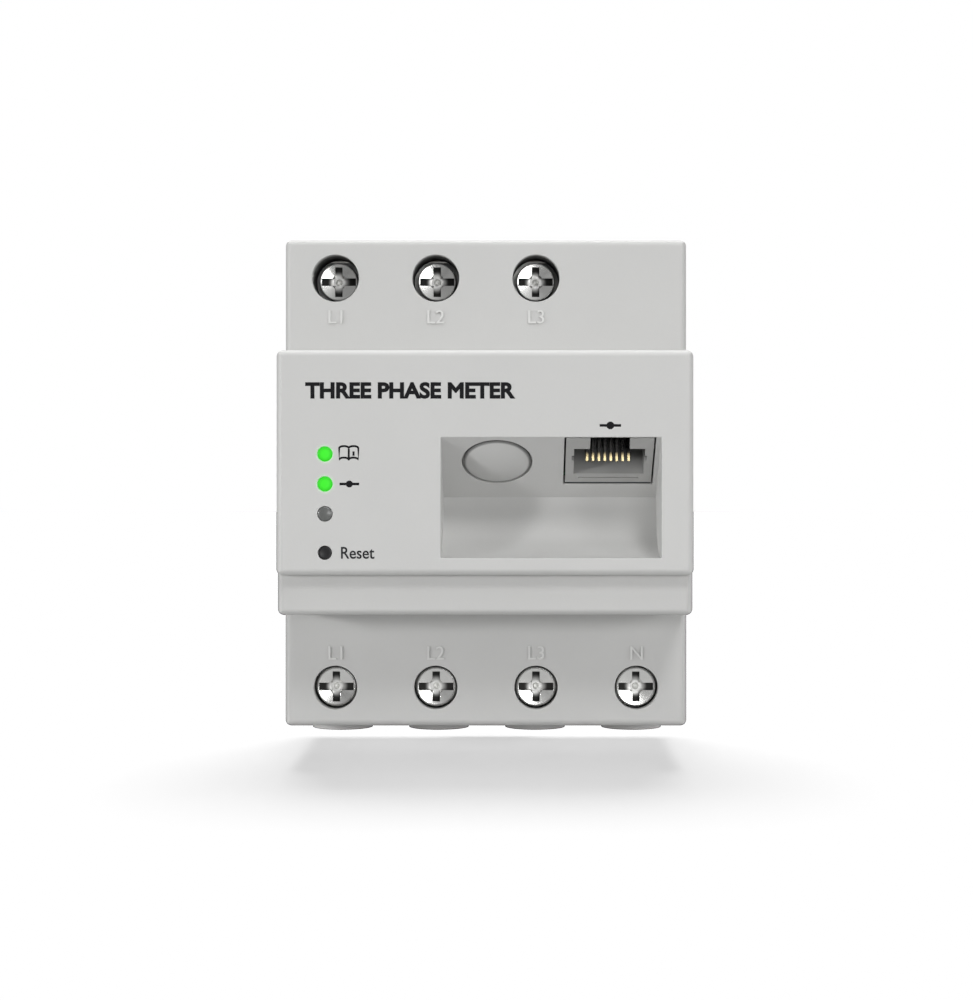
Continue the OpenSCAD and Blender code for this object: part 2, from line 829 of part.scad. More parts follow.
module storage_capacitors() {
    color("midnightblue")
    for (x = [cap_x - 2 * cap_r - 0.3, cap_x])
        round_y(x, cap_z, -measure_front - cap_l, -measure_front - 0.02, cap_r);
}

module surge_varistors() {
    color("deepskyblue")
    for (i = top_poles)
        translate([pole_x(i), -measure_front - varistor_r - 0.2, varistor_z]) rotate([0, 90, 0])
            cylinder(r = varistor_r, h = varistor_t, center = true);
}

module board_header() {
    w = header_half_w;
    color("black")
    block([-w, -logic_front + board_t + 0.02, header_z], [w, -measure_front - 0.02, header_z + header_h]);
}

module housing_screws() {
    color("silver")
    at_bosses() {
        round_y(0, 0, -boss_back - screw_bite, 1.6, screw_r);
        round_y(0, 0, 1.55, 1.5 + screw_head_t, screw_head_r);
    }
}

rear_base();
front_housing();
face_plate();
top_terminal_block();
bottom_terminal_block();
rail_latch();
latch_spring();
port_blanking_plug();
reset_button();
switch_stem();
reset_switch();
light_guide(0);  // light_guide_top
light_guide(1);  // light_guide_middle
light_guide(2);  // light_guide_bottom
terminal_screw(true, 0);  // top_screw_l1
terminal_screw(true, 1);  // top_screw_l2
terminal_screw(true, 2);  // top_screw_l3
terminal_screw(false, 0);  // bottom_screw_l1
terminal_screw(false, 1);  // bottom_screw_l2
terminal_screw(false, 2);  // bottom_screw_l3
terminal_screw(false, 3);  // bottom_screw_n
clamp_pad(true, 0);  // top_pad_l1
clamp_pad(true, 1);  // top_pad_l2
clamp_pad(true, 2);  // top_pad_l3
clamp_pad(false, 0);  // bottom_pad_l1
clamp_pad(false, 1);  // bottom_pad_l2
clamp_pad(false, 2);  // bottom_pad_l3
clamp_pad(false, 3);  // bottom_pad_n
clamp_cage(true, 0);  // top_cage_l1
clamp_cage(true, 1);  // top_cage_l2
clamp_cage(true, 2);  // top_cage_l3
clamp_cage(false, 0);  // bottom_cage_l1
clamp_cage(false, 1);  // bottom_cage_l2
clamp_cage(false, 2);  // bottom_cage_l3
clamp_cage(false, 3);  // bottom_cage_n
busbar(0);  // busbar_l1
busbar(1);  // busbar_l2
busbar(2);  // busbar_l3
neutral_bar();
current_transformer(0);  // current_transformer_l1
current_transformer(1);  // current_transformer_l2
current_transformer(2);  // current_transformer_l3
measuring_board();
logic_board();
indicator_board();
network_board();
metering_chip();
processor_chip();
supply_transformer();
storage_capacitors();
surge_varistors();
board_header();
status_leds();
network_jack();
jack_contacts();
network_transformer();
housing_screws();
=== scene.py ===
import json
import math

import bmesh
import bpy
from mathutils import Matrix, Vector


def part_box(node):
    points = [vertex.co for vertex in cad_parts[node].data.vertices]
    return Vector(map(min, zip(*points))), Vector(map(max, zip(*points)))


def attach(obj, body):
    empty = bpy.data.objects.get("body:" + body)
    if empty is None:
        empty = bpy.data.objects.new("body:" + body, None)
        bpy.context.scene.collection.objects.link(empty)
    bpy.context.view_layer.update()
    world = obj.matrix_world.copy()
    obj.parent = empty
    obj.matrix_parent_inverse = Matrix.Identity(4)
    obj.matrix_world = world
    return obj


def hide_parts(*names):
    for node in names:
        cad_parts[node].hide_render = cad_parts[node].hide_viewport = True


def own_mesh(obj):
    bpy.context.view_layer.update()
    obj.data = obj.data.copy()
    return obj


# A three-phase electricity meter for a 35 mm rail. +X right, the front faces -Y, +Z up, in metres.

MM = 0.001
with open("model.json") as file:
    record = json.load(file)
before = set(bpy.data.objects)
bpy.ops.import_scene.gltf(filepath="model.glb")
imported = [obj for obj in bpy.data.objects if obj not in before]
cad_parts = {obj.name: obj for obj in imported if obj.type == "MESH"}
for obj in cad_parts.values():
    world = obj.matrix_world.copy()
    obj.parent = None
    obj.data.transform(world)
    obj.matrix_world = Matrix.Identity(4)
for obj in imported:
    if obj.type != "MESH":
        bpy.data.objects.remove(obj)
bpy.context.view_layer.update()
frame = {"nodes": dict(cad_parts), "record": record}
record = frame["record"]
mounts = {m["name"]: m for m in record["mounts"]}


# ---- places taken from the frame ----

def middle(node):
    low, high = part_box(node)
    return (low + high) / 2


def breadth(node):
    low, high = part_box(node)
    return high.x - low.x


def corners(node):
    return [v.co for v in frame["nodes"][node].data.vertices]


plate_low, plate_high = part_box("face_plate")
PLATE_FRONT = plate_low.y
SHOULDER_FRONT = min(v.y for v in corners("front_housing") if v.z > plate_high.z + 5 * MM)

ROWS = {"top": ["l1", "l2", "l3"], "bottom": ["l1", "l2", "l3", "n"]}
POLE_PITCH = middle("bottom_screw_l2").x - middle("bottom_screw_l1").x
SCREW_Z = middle("top_screw_l1").z
HEAD_FRONT = {row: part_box(f"{row}_screw_l1")[0].y for row in ROWS}
HEAD_RADIUS = breadth("top_screw_l1") / 2

LIT_GUIDES = ["light_guide_top", "light_guide_middle"]

SOCKET_SEAT = Vector(mounts["network_socket"]["pos_m"])
SOCKET_OUT = Vector(mounts["network_socket"]["axis"])
SOCKET_UP = SOCKET_OUT.cross(Vector((1, 0, 0)))


# ---- materials ----

class Value:
    """An output socket of a node tree. Sums and products of values add the Math nodes."""

    def __init__(self, nodes, socket):
        self.nodes = nodes
        self.socket = socket

    def math(self, operation, *values):
        return self.nodes.node("ShaderNodeMath", {"operation": operation}, dict(enumerate(values)))

    def __add__(self, other):
        return self.math("ADD", self, other)

    def __sub__(self, other):
        return self.math("SUBTRACT", self, other)

    def __rsub__(self, other):
        return self.math("SUBTRACT", other, self)

    def __mul__(self, other):
        return self.math("MULTIPLY", self, other)

    def __truediv__(self, other):
        return self.math("DIVIDE", self, other)

    def __pow__(self, other):
        return self.math("POWER", self, other)

    __radd__ = __add__
    __rmul__ = __mul__

    def size(self):
        return self.math("ABSOLUTE", self)

    def sine(self):
        return self.math("SINE", self)

    def root(self):
        return self.math("SQRT", self)

    def above(self, limit):
        return self.math("GREATER_THAN", self, limit)

    def most(self, other):
        return self.math("MAXIMUM", self, other)

    def least(self, other):
        return self.math("MINIMUM", self, other)

    def wrapped(self, high, low):
        return self.math("WRAP", self, high, low)

    def step(self, low, high):
        """0 up to low, 1 from high, smooth between."""
        settings = {"interpolation_type": "SMOOTHSTEP"}
        limits = {"Value": self, "From Min": low, "From Max": high}
        return self.nodes.node("ShaderNodeMapRange", settings, limits)


class Nodes:
    """A node tree in the making."""

    def __init__(self, tree):
        self.tree = tree

    def node(self, kind, settings=(), inputs=(), out=0):
        made = self.tree.nodes.new(kind)
        for key, value in dict(settings).items():
            setattr(made, key, value)
        for key, value in dict(inputs).items():
            self.join(value, made.inputs[key])
        return Value(self, made.outputs[out])

    def join(self, value, socket):
        if isinstance(value, Value):
            self.tree.links.new(value.socket, socket)
        else:
            socket.default_value = value


class Paint(Nodes):
    """A material in the making."""

    def __init__(self, name, **sockets):
        self.material = bpy.data.materials.new(name)
        self.material.use_nodes = True
        super().__init__(self.material.node_tree)
        self.shader = next(n for n in self.tree.nodes if n.type == "BSDF_PRINCIPLED")
        self.at = self.node("ShaderNodeTexCoord", out="Object")
        for socket, value in sockets.items():
            self.feed(socket.replace("_", " "), value)

    def feed(self, name, value):
        if isinstance(value, tuple) and len(value) == 3:
            value = (*value, 1)
        self.join(value, self.shader.inputs[name])

    def axis(self, name):
        return self.node("ShaderNodeSeparateXYZ", inputs={0: self.at}, out=name)

    def noise(self, size, detail=2, roughness=0.5, stretch=(1, 1, 1)):
        """Noise between 0 and 1 with features of a size in metres."""
        place = self.at
        if stretch != (1, 1, 1):
            place = self.node("ShaderNodeMapping", inputs={"Vector": self.at, "Scale": stretch})
        values = {"Vector": place, "Scale": 1 / size, "Detail": detail, "Roughness": roughness}
        return self.node("ShaderNodeTexNoise", inputs=values)

    def cells(self, size):
        return self.node("ShaderNodeTexVoronoi", inputs={"Vector": self.at, "Scale": 1 / size})

    def blend(self, factor, first, second):
        """From the first colour at 0 to the second at 1."""
        ends = [c if isinstance(c, Value) else (*c, 1) for c in (first, second)]
        inputs = {0: factor, 6: ends[0], 7: ends[1]}
        return self.node("ShaderNodeMix", {"data_type": "RGBA"}, inputs, out=2)

    def bump(self, height, depth, strength=1.0, under=None):
        values = {"Height": height, "Distance": depth, "Strength": strength}
        if under is not None:
            values["Normal"] = under
        return self.node("ShaderNodeBump", inputs=values)


def shade(colour, factor):
    return tuple(min(1, c * factor) for c in colour)


GRAIN_DEPTH = 0.012 * MM


def bare_plastic(name, rough):
    """Plastic's gloss, before it has its colour and texture."""
    paint = Paint(name, Specular_IOR_Level=0.42)
    paint.feed("Roughness", paint.noise(1.5 * MM, 4) * 0.14 + (rough - 0.07))
    return paint


def spark_grain(paint, depth):
    """The fine texture that a spark-eroded mould leaves."""
    return paint.bump(paint.noise(0.22 * MM, 3, 0.65), depth)


def moulded_skin(paint, depth):
    """Grain on a surface that waves slightly."""
    return paint.bump(paint.noise(9 * MM, 1), 0.03 * MM, 0.5, spark_grain(paint, depth))


def mottled(paint, colour):
    tone = paint.noise(14 * MM, 3) * 0.7 + paint.noise(0.35 * MM, 2) * 0.3
    return paint.blend(tone, shade(colour, 0.96), shade(colour, 1.04))


def moulded_plastic(name, colour, depth=GRAIN_DEPTH, rough=0.5):
    """Injection-moulded plastic with a spark-eroded texture."""
    paint = bare_plastic(name, rough)
    paint.feed("Base Color", mottled(paint, colour))
    paint.feed("Normal", moulded_skin(paint, depth))
    return paint


def lamp_distances(paint):
    """Distances from the axes of the lit light guides."""
    x, z = paint.axis("X"), paint.axis("Z")
    spots = [middle(node) for node in LIT_GUIDES]
    return [((x - spot.x) ** 2 + (z - spot.z) ** 2).root() for spot in spots]


def glowing_plastic(name, colour):
    """The plate's plastic, with the light that the lit guides leave round them."""
    paint = moulded_plastic(name, colour, rough=0.46)
    first, second = [(1 - away.step(0.9 * MM, 2.1 * MM)) ** 2 for away in lamp_distances(paint)]
    glow = (first + second).least(1)
    paint.feed("Emission Color", paint.blend(glow, (0, 0, 0), (0.06, 0.5, 0.05)))
    paint.feed("Emission Strength", 0.7)
    return paint


def pole_distance(paint):
    """Distance from the nearest terminal screw's axis."""
    x = paint.axis("X").wrapped(POLE_PITCH, 0) - POLE_PITCH / 2
    z = paint.axis("Z").size() - SCREW_Z
    return (x * x + z * z).root()


def welled_plastic(name, colour):
    """The housing's plastic. Its driver holes are unlit: painted shade darkens them below their rims.
    """
    paint = bare_plastic(name, 0.5)
    deep = paint.axis("Y") - SHOULDER_FRONT
    reach = deep.step(0.3 * MM, 3.5 * MM) * (1 - deep.step(13 * MM, 15 * MM))
    # painted shade: near black inside each driver hole, from just under the shoulder's front to about
    # 14 mm deep
    well_shade = (1 - pole_distance(paint).step(4.4 * MM, 4.6 * MM)) * reach
    paint.feed("Base Color", paint.blend(well_shade, mottled(paint, colour), (0.02, 0.02, 0.019)))
    paint.feed("Normal", moulded_skin(paint, GRAIN_DEPTH))
    return paint


def nickel_steel(name):
    """Bright nickel on a slightly dished head.

    It has fine rings, a dark line near the rim and painted shade deep in the slots.
    """
    paint = Paint(name, Metallic=1.0)
    away = pole_distance(paint)
    upper = paint.axis("Z").above(0)
    face = upper * (HEAD_FRONT["top"] - HEAD_FRONT["bottom"]) + HEAD_FRONT["bottom"]
    # painted shade: near black where the slots lie deeper than 0.2-0.7 mm below the head's face, away
    # from the centre
    slot_shade = (paint.axis("Y") - face).step(0.2 * MM, 0.7 * MM) * away.step(0.5 * MM, 2.1 * MM)
    line = 1 - (away - HEAD_RADIUS * 0.92).size().step(0.02 * MM, 0.07 * MM)
    rim = away.step(HEAD_RADIUS * 0.93, HEAD_RADIUS * 0.96)
    pit = 1 - away.step(0.7 * MM, 1.3 * MM)
    patina = paint.noise(1.6 * MM, 3, 0.5)
    bright = paint.blend(patina, (0.82, 0.82, 0.80), (0.92, 0.92, 0.90))
    ringed = paint.blend(line * 0.7, bright, (0.12, 0.12, 0.115))
    paint.feed("Base Color", paint.blend(slot_shade * 0.97, ringed, (0.012, 0.012, 0.011)))
    smear = paint.noise(0.5 * MM, 3) * 0.06
    paint.feed("Roughness", smear + slot_shade * 0.4 + rim * 0.35 + pit * 0.3 + 0.13)
    cone = paint.bump((away / HEAD_RADIUS).most(0.3), 0.34 * MM)
    rings = (away * (2 * math.pi / (0.09 * MM))).sine() * (1 - pit)
    paint.feed("Normal", paint.bump(rings, 0.0003 * MM, 0.5, cone))
    return paint


def plated_steel(name, colour, rough=0.32):
    """Pressed sheet with a zinc or tin coat."""
    paint = Paint(name, Metallic=1.0)
    spangle = paint.cells(0.5 * MM)
    stain = paint.noise(5 * MM, 4, 0.6)
    tone = spangle * 0.35 + stain * 0.65
    paint.feed("Base Color", paint.blend(tone, shade(colour, 0.82), shade(colour, 1.1)))
    paint.feed("Roughness", stain * 0.18 + (rough - 0.09))
    scratch = paint.noise(0.25 * MM, 3, 0.6, (1, 1, 0.08))
    paint.feed("Normal", paint.bump(scratch, 0.006 * MM, 0.6))
    return paint


def copper(name):
    paint = Paint(name, Metallic=1.0)
    stain = paint.noise(6 * MM, 5, 0.65)
    paint.feed("Base Color", paint.blend(stain.step(0.35, 0.7), (0.86, 0.47, 0.3), (0.5, 0.24, 0.13)))
    paint.feed("Roughness", stain * 0.3 + 0.18)
    drawn = paint.noise(0.2 * MM, 2, 0.5, (1, 1, 0.03))
    paint.feed("Normal", paint.bump(drawn, 0.005 * MM, 0.7))
    return paint


def green_board(name):
    """Solder mask over etched tracks, with plated pads."""
    paint = Paint(name, Coat_Weight=0.35, Coat_Roughness=0.2)
    x, z = paint.axis("X"), paint.axis("Z")
    wander = paint.noise(9 * MM, 0) * (6 * MM)
    lane = ((z + wander) * (2 * math.pi / (1.3 * MM))).sine()
    cross = ((x - wander) * (2 * math.pi / (2.1 * MM))).sine()
    patch = paint.noise(7 * MM, 1).step(0.46, 0.5)
    track = lane.step(0.1, 0.35) * patch + cross.step(0.3, 0.5) * (1 - patch)
    pad_x = (x / (2.54 * MM)).wrapped(1, 0) - 0.5
    pad_z = (z / (2.54 * MM)).wrapped(1, 0) - 0.5
    pads = 1 - (pad_x * pad_x + pad_z * pad_z).root().step(0.14, 0.18)
    pads = pads * paint.noise(5 * MM, 0).step(0.5, 0.52)
    weave = paint.noise(0.5 * MM, 2)
    mask = paint.blend(track, (0.012, 0.12, 0.045), (0.02, 0.23, 0.08))
    mask = paint.blend(weave * 0.3, mask, (0.03, 0.26, 0.11))
    paint.feed("Base Color", paint.blend(pads, mask, (0.78, 0.74, 0.62)))
    paint.feed("Metallic", pads)
    paint.feed("Roughness", 0.42 - pads * 0.14)
    paint.feed("Normal", paint.bump(track + pads, 0.03 * MM, 0.8))
    return paint


def chip_epoxy(name):
    paint = Paint(name)
    colour = (0.02, 0.02, 0.022)
    speck = paint.noise(0.12 * MM, 3, 0.7)
    paint.feed("Base Color", paint.blend(speck, colour, shade(colour, 2.4)))
    paint.feed("Roughness", paint.noise(2 * MM, 3) * 0.2 + 0.45)
    paint.feed("Normal", paint.bump(speck, 0.008 * MM, 0.8))
    return paint


def wound_tape(name, colour):
    """Tape laid in turns, with its edges showing."""
    paint = Paint(name, Coat_Weight=0.2)
    tape_width = 1.1 * MM
    z = paint.axis("Z") + paint.noise(4 * MM, 1) * (0.4 * MM)
    edge = (z * (2 * math.pi / tape_width)).sine().step(0.82, 0.97)
    cloud = paint.noise(3 * MM, 3)
    base = paint.blend(cloud, shade(colour, 0.85), shade(colour, 1.1))
    paint.feed("Base Color", paint.blend(edge, base, shade(colour, 0.55)))
    paint.feed("Roughness", cloud * 0.2 + 0.3)
    paint.feed("Normal", paint.bump(edge, 0.04 * MM, 0.7))
    return paint


def glossy_sleeve(name, colour, rough=0.3):
    """Shrunk or dipped coat with a slight orange-peel."""
    paint = Paint(name, Coat_Weight=0.3, Coat_Roughness=0.15)
    peel = paint.noise(0.9 * MM, 2)
    cloud = paint.noise(4 * MM, 3)
    paint.feed("Base Color", paint.blend(cloud, shade(colour, 0.8), shade(colour, 1.2)))
    paint.feed("Roughness", peel * 0.15 + (rough - 0.07))
    paint.feed("Normal", paint.bump(peel, 0.02 * MM, 0.6))
    return paint


def lit_guide(name):
    """Clear light guide with a lit green lamp behind it: brightest in its middle."""
    paint = Paint(name, Roughness=0.4, Specular_IOR_Level=0.2)
    first, second = lamp_distances(paint)
    edge = first.least(second).step(0.5 * MM, 1.25 * MM)
    haze = paint.noise(0.5 * MM, 2) * 0.08
    paint.feed("Base Color", paint.blend(edge, (0.02, 0.2, 0.015), (0.01, 0.15, 0.01)))
    light = paint.blend((edge + haze).least(1), (0.05, 0.85, 0.025), (0.03, 0.62, 0.015))
    paint.feed("Emission Color", light)
    paint.feed("Emission Strength", 0.85)
    paint.feed("Normal", paint.bump(haze, 0.02 * MM, 0.5))
    return paint


def smoked_guide(name):
    """A light guide whose lamp is off."""
    paint = Paint(name, Coat_Weight=0.5, Coat_Roughness=0.1)
    haze = paint.noise(0.5 * MM, 3)
    paint.feed("Base Color", paint.blend(haze, (0.10, 0.105, 0.10), (0.14, 0.145, 0.14)))
    paint.feed("Roughness", haze * 0.15 + 0.25)
    paint.feed("Normal", paint.bump(haze, 0.01 * MM, 0.5))
    return paint


def printed_ink(name, colour):
    """Pad-printed ink, a little uneven in cover."""
    paint = Paint(name, Specular_IOR_Level=0.15)
    cover = paint.noise(0.25 * MM, 4, 0.6)
    paint.feed("Base Color", paint.blend(cover.step(0.3, 0.8), colour, shade(colour, 1.9)))
    paint.feed("Roughness", cover * 0.2 + 0.5)
    paint.feed("Normal", paint.bump(cover, 0.004 * MM, 0.6))
    return paint


def socket_place(paint, direction):
    """How far from the socket's seat a place lies, along a direction that leans with the socket."""
    y, z = paint.axis("Y") - SOCKET_SEAT.y, paint.axis("Z") - SOCKET_SEAT.z
    return y * direction.y + z * direction.z


def socket_heights(node):
    """Lowest and highest place of a CAD node, up the socket's face."""
    heights = [(v - SOCKET_SEAT).dot(SOCKET_UP) for v in corners(node)]
    return min(heights), max(heights)


def socket_plastic(name, colour):
    """Grey face and floor, with painted shade near black deep in the socket's mouth."""
    paint = bare_plastic(name, 0.45)
    deep, up = socket_place(paint, -SOCKET_OUT), socket_place(paint, SOCKET_UP)
    foot = socket_heights("network_jack")[0]
    # painted shadow: a near-black strip along the jack's foot, where the gap under it lies in shade
    gap_shadow = 1 - up.step(foot + 0.3 * MM, foot + 0.42 * MM)
    # painted shade: near black deeper than 1.6 mm in the mouth, between set heights up the socket's
    # face
    mouth_shade = deep.step(0.5 * MM, 1.6 * MM) * up.step(-2.6 * MM, 1.2 * MM)
    face = paint.blend(paint.noise(4 * MM, 2), shade(colour, 0.94), shade(colour, 1.06))
    face = paint.blend(gap_shadow, face, (0.01, 0.01, 0.01))
    # painted shade: the face darkens with depth into the socket
    depth_shaded = paint.blend(deep.step(0.4 * MM, 5 * MM) * 0.75, face, (0.1, 0.1, 0.098))
    paint.feed("Base Color", paint.blend(mouth_shade, depth_shaded, (0.006, 0.006, 0.006)))
    paint.feed("Normal", moulded_skin(paint, 0.006 * MM))
    return paint


def domed_plug(name, colour):
    """The plug's crown, and the shade in the groove round it."""
    paint = bare_plastic(name, 0.46)
    plug = "port_blanking_plug"
    x = paint.axis("X") - middle(plug).x
    up = socket_place(paint, SOCKET_UP) - sum(socket_heights(plug)) / 2
    away = (x * x + up * up).root() / (breadth(plug) / 2)
    crown = 1 - away * away
    paint.feed("Normal", paint.bump(crown, 0.8 * MM, 1.0, spark_grain(paint, GRAIN_DEPTH)))
    tone = paint.blend(paint.noise(14 * MM, 3), shade(colour, 0.96), shade(colour, 1.04))
    paint.feed("Base Color", paint.blend(away.step(0.9, 0.985), tone, shade(colour, 0.3)))
    return paint


def contact_wire(name):
    """Spring wire with gold at its front; deeper in, its colour is painted near black as shade."""
    paint = Paint(name, Metallic=1.0)
    wear = paint.noise(0.7 * MM, 4)
    gold = paint.blend(wear, (0.62, 0.5, 0.26), (0.85, 0.72, 0.42))
    shaded_wire = paint.blend(wear, (0.012, 0.012, 0.012), (0.03, 0.03, 0.028))
    # painted shade: past 3.3-4.4 mm into the socket the wire's colour turns near black
    wire_depth_shade = socket_place(paint, -SOCKET_OUT).step(3.3 * MM, 4.4 * MM)
    paint.feed("Base Color", paint.blend(wire_depth_shade, gold, shaded_wire))
    paint.feed("Roughness", wear * 0.15 + 0.2)
    drawn = paint.noise(0.15 * MM, 2, 0.5, (1, 1, 0.1))
    paint.feed("Normal", paint.bump(drawn, 0.003 * MM, 0.6))
    return paint


HOUSING_GREY = (0.60, 0.60, 0.59)
PLATE_GREY = (0.62, 0.62, 0.61)
FINISHES = {
    "housing_plastic": welled_plastic("housing_plastic", HOUSING_GREY),
    "plate_plastic": glowing_plastic("plate_plastic", PLATE_GREY),
    "block_plastic": moulded_plastic("block_plastic", shade(HOUSING_GREY, 0.9), 0.006 * MM),
    "latch_plastic": moulded_plastic("latch_plastic", (0.035, 0.036, 0.038), rough=0.42),
    "spring_steel": plated_steel("spring_steel", (0.74, 0.74, 0.73), 0.28),
    "button_plastic": moulded_plastic("button_plastic", (0.012, 0.012, 0.013), 0.004 * MM, 0.35),
    "switch_metal": plated_steel("switch_metal", (0.78, 0.77, 0.74), 0.3),
    "light_guide_lit": lit_guide("light_guide_lit"),
    "light_guide_dark": smoked_guide("light_guide_dark"),
    "screw_steel": nickel_steel("screw_steel"),
    "clamp_steel": plated_steel("clamp_steel", (0.7, 0.7, 0.68)),
    "tinned_copper": copper("bare_copper"),
    "transformer_casing": glossy_sleeve("transformer_casing", (0.02, 0.05, 0.2)),
    "circuit_board": green_board("circuit_board"),
    "chip_black": chip_epoxy("chip_epoxy"),
    "transformer_tape": wound_tape("transformer_tape", (0.72, 0.5, 0.06)),
    "capacitor_sleeve": glossy_sleeve("capacitor_sleeve", (0.012, 0.016, 0.06)),
    "varistor_coat": glossy_sleeve("varistor_coat", (0.02, 0.12, 0.42), 0.4),
    "led_white": moulded_plastic("led_white", (0.8, 0.8, 0.76), 0.003 * MM),
    "jack_plastic": socket_plastic("jack_plastic", (0.44, 0.44, 0.43)),
    "gold_contact": contact_wire("gold_contact"),
}
INK = printed_ink("black_ink", (0.005, 0.005, 0.006))
GREY_INK = printed_ink("grey_ink", (0.022, 0.022, 0.024))
# painted highlight: the raised letters are the housing's plastic made 1.2 times lighter, standing in
# for light catching their faces
RAISED_MARK_HIGHLIGHT = moulded_plastic("raised_mark_highlight", shade(HOUSING_GREY, 1.2), 0.004 * MM, 0.36)
PLUG = domed_plug("plug_plastic", PLATE_GREY)
SLOT_OF = {s["node"]: s["material_slot"] for s in record["subparts"]}
BODY_OF = {n: b for b, members in record["behaviour"]["bodies"].items() for n in members}


# ---- pieces ----

def finish_piece(piece, slot, body, paint=None, replaces=()):
    """Gives a piece the material of its record slot, or a given paint, and the body that it rides."""
    piece.data.materials.clear()
    piece.data.materials.append((paint or FINISHES[slot]).material)
    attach(piece, body)
    if replaces:
        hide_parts(*replaces)
    return piece


def add_mesh(name, bm, smooth_angle=35):
    """A bmesh as an object at the origin, smooth but for edges past an angle in degrees."""
    mesh = bpy.data.meshes.new(name)
    bm.to_mesh(mesh)
    bm.free()
    piece = bpy.data.objects.new(name, mesh)
    bpy.context.scene.collection.objects.link(piece)
    mesh.shade_smooth()
    mesh.set_sharp_from_angle(angle=math.radians(smooth_angle))
    return piece


def round_edges(bm, edges, width, segments):
    bmesh.ops.bevel(
        bm, geom=edges, offset=width, offset_type="OFFSET", segments=segments, profile=0.5,
        affect="EDGES", clamp_overlap=True, material=-1, loop_slide=True,
    )


def sharp_edges(bm, angle):
    """Edges where two faces meet at more than an angle in degrees."""
    limit = math.radians(angle)
    return [e for e in bm.edges if len(e.link_faces) == 2 and e.calc_face_angle(0) > limit]


def recess_lip(bm):
    """The long edge at the foot of the plate's recess, on the plate's front."""
    front = PLATE_FRONT + 0.3 * MM
    above = plate_low.z + 2 * MM
    edges = [e for e in sharp_edges(bm, 12) if e.calc_length() > 20 * MM]
    edges = [e for e in edges if all(v.co.y < front and v.co.z > above for v in e.verts)]
    return min(edges, key=lambda e: e.verts[0].co.z)


def softened(node, width):
    """The CAD node's shape with its sharp edges rounded off. The new piece stands for the node."""
    bm = bmesh.new()
    bm.from_mesh(frame["nodes"][node].data)
    bmesh.ops.remove_doubles(bm, verts=bm.verts, dist=0.002 * MM)
    bmesh.ops.dissolve_limit(bm, angle_limit=math.radians(0.6), verts=bm.verts, edges=bm.edges)
    if node == "face_plate":
        round_edges(bm, [recess_lip(bm)], 0.9 * MM, 5)
    round_edges(bm, sharp_edges(bm, 28), width, 2)
    piece = add_mesh(node + "_shape", bm, 50)
    even = piece.modifiers.new("even_normals", "WEIGHTED_NORMAL")
    even.keep_sharp = True
    even.weight = 100
    return finish_piece(piece, SLOT_OF[node], BODY_OF[node], replaces=[node])


def spun(name, outline, centre):
    """A turned piece: an outline of (radius, along) points spun round an axis from front to back."""
    bm = bmesh.new()
    verts = [bm.verts.new((radius, 0, along)) for radius, along in outline]
    edges = [bm.edges.new(pair) for pair in zip(verts, verts[1:])]
    bmesh.ops.spin(
        bm, geom=verts + edges, cent=(0, 0, 0), axis=(0, 0, 1), angle=2 * math.pi, steps=48,
        use_merge=True,
    )
    bmesh.ops.remove_doubles(bm, verts=bm.verts, dist=0.001 * MM)
    bmesh.ops.recalc_face_normals(bm, faces=bm.faces)
    bmesh.ops.rotate(bm, verts=bm.verts, matrix=Matrix.Rotation(math.radians(-90), 3, "X"))
    bmesh.ops.translate(bm, verts=bm.verts, vec=centre)
    return add_mesh(name, bm)


def turned(node, outline):
    """A turned piece that stands for a node, with its outline measured from the node's front."""
    centre = middle(node)
    piece = spun(node + "_shape", outline, (centre.x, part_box(node)[0].y, centre.z))
    finish_piece(piece, SLOT_OF[node], BODY_OF[node], replaces=[node])


def light_guide(node):
    """A round rod with a domed front and a collar that stops behind the plate."""
    low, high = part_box(node)
    length = high.y - low.y
    collar = breadth(node) / 2
    r = collar - 0.5 * MM
    dome = 0.22 * MM
    angles = [i * math.pi / 16 for i in range(9)]
    outline = [(r * math.sin(a), dome * (1 - math.cos(a))) for a in angles]
    outline += [(r, 2.2 * MM), (collar, 2.5 * MM), (collar, 3.1 * MM), (r, 3.1 * MM)]
    outline += [(r, length - 0.1 * MM), (r - 0.1 * MM, length), (0, length)]
    turned(node, outline)


def reset_button():
    """A cap with a dished end and a flange that stops behind the plate."""
    low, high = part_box("reset_button")
    length = high.y - low.y
    flange = breadth("reset_button") / 2
    r = flange - 0.7 * MM
    outline = [(0, 0.1 * MM), (r * 0.6, 0.07 * MM), (r * 0.82, 0)]
    outline += [(r * 0.94, 0.04 * MM), (r, 0.16 * MM), (r, 2.3 * MM)]
    outline += [(flange, 2.35 * MM), (flange, 3.1 * MM), (r, 3.15 * MM), (r, length), (0, length)]
    turned("reset_button", outline)


def screw_thread(row, phase):
    """The helical ridge on a screw's shank."""
    node = f"{row}_screw_{phase}"
    low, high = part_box(node)
    centre = middle(node)
    start = low.y + 3.1 * MM
    pitch = 0.8 * MM
    turns = int((high.y - 0.9 * MM - start) / pitch)
    bm = bmesh.new()
    ridge = [(2.02, -0.36), (2.02, 0.36), (2.47, 0.07), (2.47, -0.07)]
    ring = [bm.verts.new((centre.x + r * MM, start + y * MM, centre.z)) for r, y in ridge]
    face = bm.faces.new(ring)
    steps = 28 * turns
    bmesh.ops.spin(
        bm, geom=[face], cent=(centre.x, 0, centre.z), axis=(0, 1, 0),
        dvec=(0, pitch * turns / steps, 0), angle=2 * math.pi * turns, steps=steps,
    )
    bmesh.ops.recalc_face_normals(bm, faces=bm.faces)
    piece = add_mesh(node + "_thread", bm, 20)
    finish_piece(piece, "screw_steel", BODY_OF[node])


